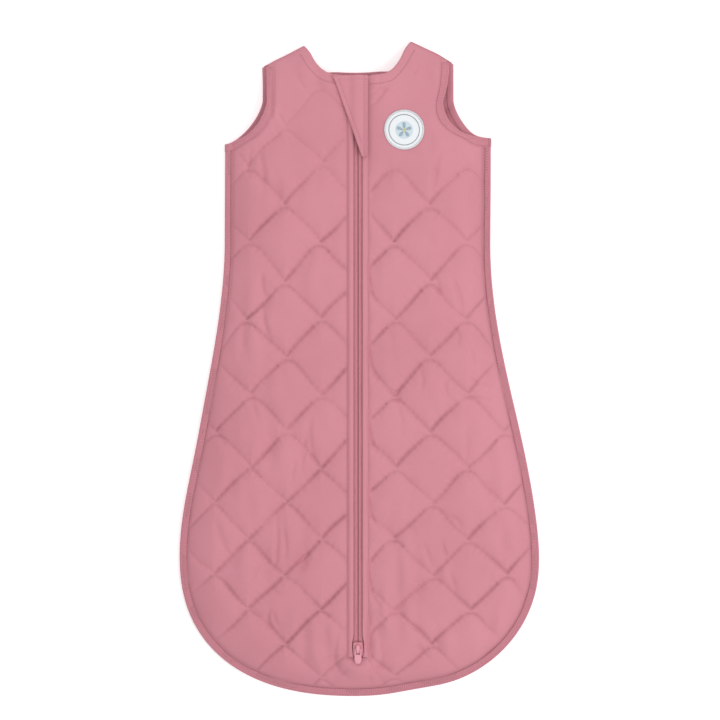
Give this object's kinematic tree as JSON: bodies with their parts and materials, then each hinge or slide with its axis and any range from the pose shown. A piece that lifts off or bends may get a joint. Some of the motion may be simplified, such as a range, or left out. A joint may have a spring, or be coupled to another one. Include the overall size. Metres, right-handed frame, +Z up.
{
  "type": "baby sleeping bag",
  "caption": "Sleeveless quilted baby sleeping bag laid flat, with a full-length front zip that opens both front edges, a slider with pull tab, and a folding chin guard.",
  "frame": {"origin": "under the middle of the bag as it lies on its back, on the outside of the back", "axes": "+X across the bag to the wearer's left, +Y from hem to neck, +Z up out of the front"},
  "size_m": [0.382, 0.7, 0.0341],
  "materials": {
    "outer_fabric": "soft brushed knit, matt",
    "wadding": "lofted fibre",
    "lining_fabric": "smooth jersey, matt",
    "binding_fabric": "folded jersey with cover stitching, matt",
    "zip_tape": "woven polyester tape",
    "zip_coil": "moulded nylon, satin",
    "slider_enamel": "enamelled, satin",
    "badge_cloth": "plain weave, matt",
    "badge_rim_thread": "satin-stitched thread",
    "badge_motif_thread": "satin-stitched thread"
  },
  "bodies": {
    "sack": {"back_outer": "outer_fabric", "back_wadding": "wadding", "back_lining": "lining_fabric", "front_outer": "outer_fabric", "front_wadding": "wadding", "front_lining": "lining_fabric", "side_and_hem_binding": "binding_fabric", "left_armhole_band": "binding_fabric", "right_armhole_band": "binding_fabric", "back_neck_band": "binding_fabric", "lower_zip_facings": "binding_fabric", "lower_zip_tapes": "zip_tape", "lower_zip_coils": "zip_coil", "zip_end_stops": "zip_coil", "badge_patch": "badge_cloth", "badge_rim": "badge_rim_thread", "badge_motif": "badge_motif_thread"},
    "left_flap": {"left_flap_outer": "outer_fabric", "left_flap_wadding": "wadding", "left_flap_lining": "lining_fabric", "left_neck_band": "binding_fabric", "left_zip_facing": "binding_fabric", "left_zip_tape": "zip_tape", "left_zip_coil": "zip_coil", "retainer_box": "zip_coil", "chin_guard_base": "outer_fabric"},
    "right_flap": {"right_flap_outer": "outer_fabric", "right_flap_wadding": "wadding", "right_flap_lining": "lining_fabric", "right_neck_band": "binding_fabric", "right_zip_facing": "binding_fabric", "right_zip_tape": "zip_tape", "right_zip_coil": "zip_coil", "insertion_pin": "zip_coil"},
    "slider": {"slider_body": "slider_enamel", "slider_bridge": "slider_enamel"},
    "pull_tab": {"pull_tab": "slider_enamel"},
    "chin_guard": {"chin_guard": "outer_fabric"}
  },
  "joints": [
    {"name": "left_flap_open", "type": "hinge", "parent": "sack", "child": "left_flap", "pos_m": [0.02644, 0, 0.029], "axis": [0.0842, 0.9965, 0], "range_deg": [0, 120], "deforming": ["badge_patch", "badge_rim", "badge_motif"]},
    {"name": "right_flap_open", "type": "hinge", "parent": "sack", "child": "right_flap", "pos_m": [-0.02644, 0, 0.029], "axis": [0.0842, -0.9965, 0], "range_deg": [0, 120], "deforming": ["right_zip_tape", "right_zip_coil"]},
    {"name": "zip_slide", "type": "slide", "parent": "left_flap", "child": "slider", "axis": [0, 1, 0], "range_m": [0, 0.59], "deforming": ["lower_zip_tapes", "lower_zip_coils", "left_zip_coil"]},
    {"name": "pull_tab_swing", "type": "hinge", "parent": "slider", "child": "pull_tab", "pos_m": [0, -0.2979, 0.0294], "axis": [-1, 0, 0], "range_deg": [0, 174]},
    {"name": "chin_guard_flip", "type": "hinge", "parent": "left_flap", "child": "chin_guard", "pos_m": [0.0082, 0.268, 0.0342], "axis": [0, 1, 0], "range_deg": [0, 150]}
  ],
  "couplings": [
    {"joint": "left_flap_open", "follows": "zip_slide", "rad_per_m": 3.54},
    {"joint": "right_flap_open", "follows": "zip_slide", "rad_per_m": 3.54}
  ]
}
